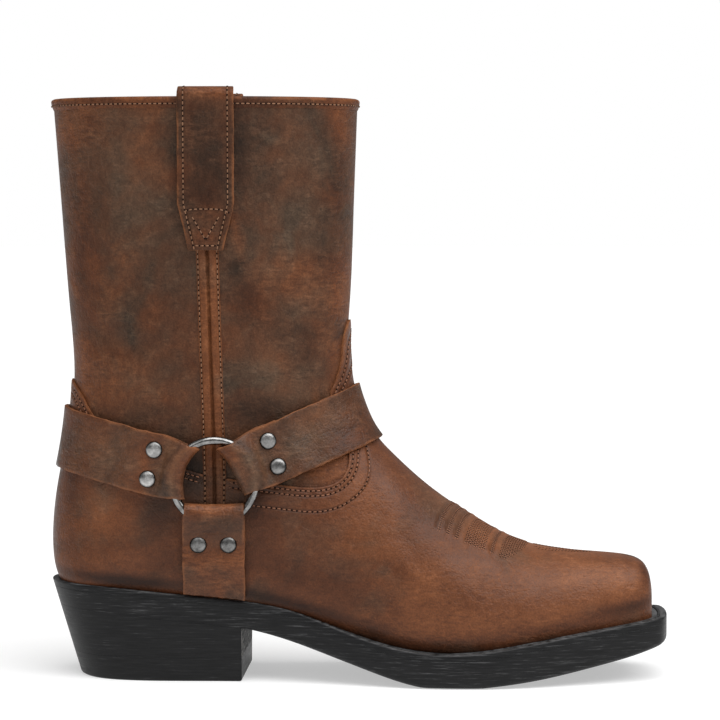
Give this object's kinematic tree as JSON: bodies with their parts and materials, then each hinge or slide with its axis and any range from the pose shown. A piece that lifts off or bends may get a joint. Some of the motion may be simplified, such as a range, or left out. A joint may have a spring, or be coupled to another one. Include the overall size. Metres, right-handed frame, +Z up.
{
  "type": "western harness boot",
  "caption": "Pull-on western harness boot of brown leather with a square snip toe, ring and strap harness at the ankle, pull straps and a raked stacked heel, for a right foot.",
  "frame": {"origin": "centre of the boot's bounding box, on the floor under the sole", "axes": "+X towards the toe, +Y towards the inner (medial) side, +Z up the shaft"},
  "size_m": [0.3058, 0.1048, 0.2893],
  "materials": {
    "shaft_leather": "oiled, dark brown, mottled",
    "vamp_leather": "oiled, rust brown, mottled",
    "strap_leather": "oiled, brown, raw edges",
    "binding_leather": "folded edge, rust",
    "insole_leather": "plain tan",
    "sole_rubber": "black, satin",
    "heel_stack": "stacked, dyed black",
    "nickel": "antique nickel"
  },
  "bodies": {
    "root": {"upper": "shaft_leather", "vamp": "vamp_leather", "counter": "vamp_leather", "side_seam_lateral": "shaft_leather", "side_seam_medial": "shaft_leather", "collar_binding": "binding_leather", "pull_strap_lateral": "strap_leather", "pull_strap_medial": "strap_leather", "heel_strap": "strap_leather", "instep_strap": "strap_leather", "under_strap_lateral": "strap_leather", "under_strap_medial": "strap_leather", "ring_lateral": "nickel", "ring_medial": "nickel", "rivet_heel_lateral_1": "nickel", "rivet_heel_lateral_2": "nickel", "rivet_heel_medial_1": "nickel", "rivet_heel_medial_2": "nickel", "rivet_instep_lateral_1": "nickel", "rivet_instep_lateral_2": "nickel", "rivet_instep_medial_1": "nickel", "rivet_instep_medial_2": "nickel", "rivet_under_lateral_1": "nickel", "rivet_under_lateral_2": "nickel", "rivet_under_medial_1": "nickel", "rivet_under_medial_2": "nickel", "insole": "insole_leather", "welt": "sole_rubber", "outsole": "sole_rubber", "heel_block": "heel_stack", "heel_lift": "sole_rubber"}
  },
  "joints": []
}
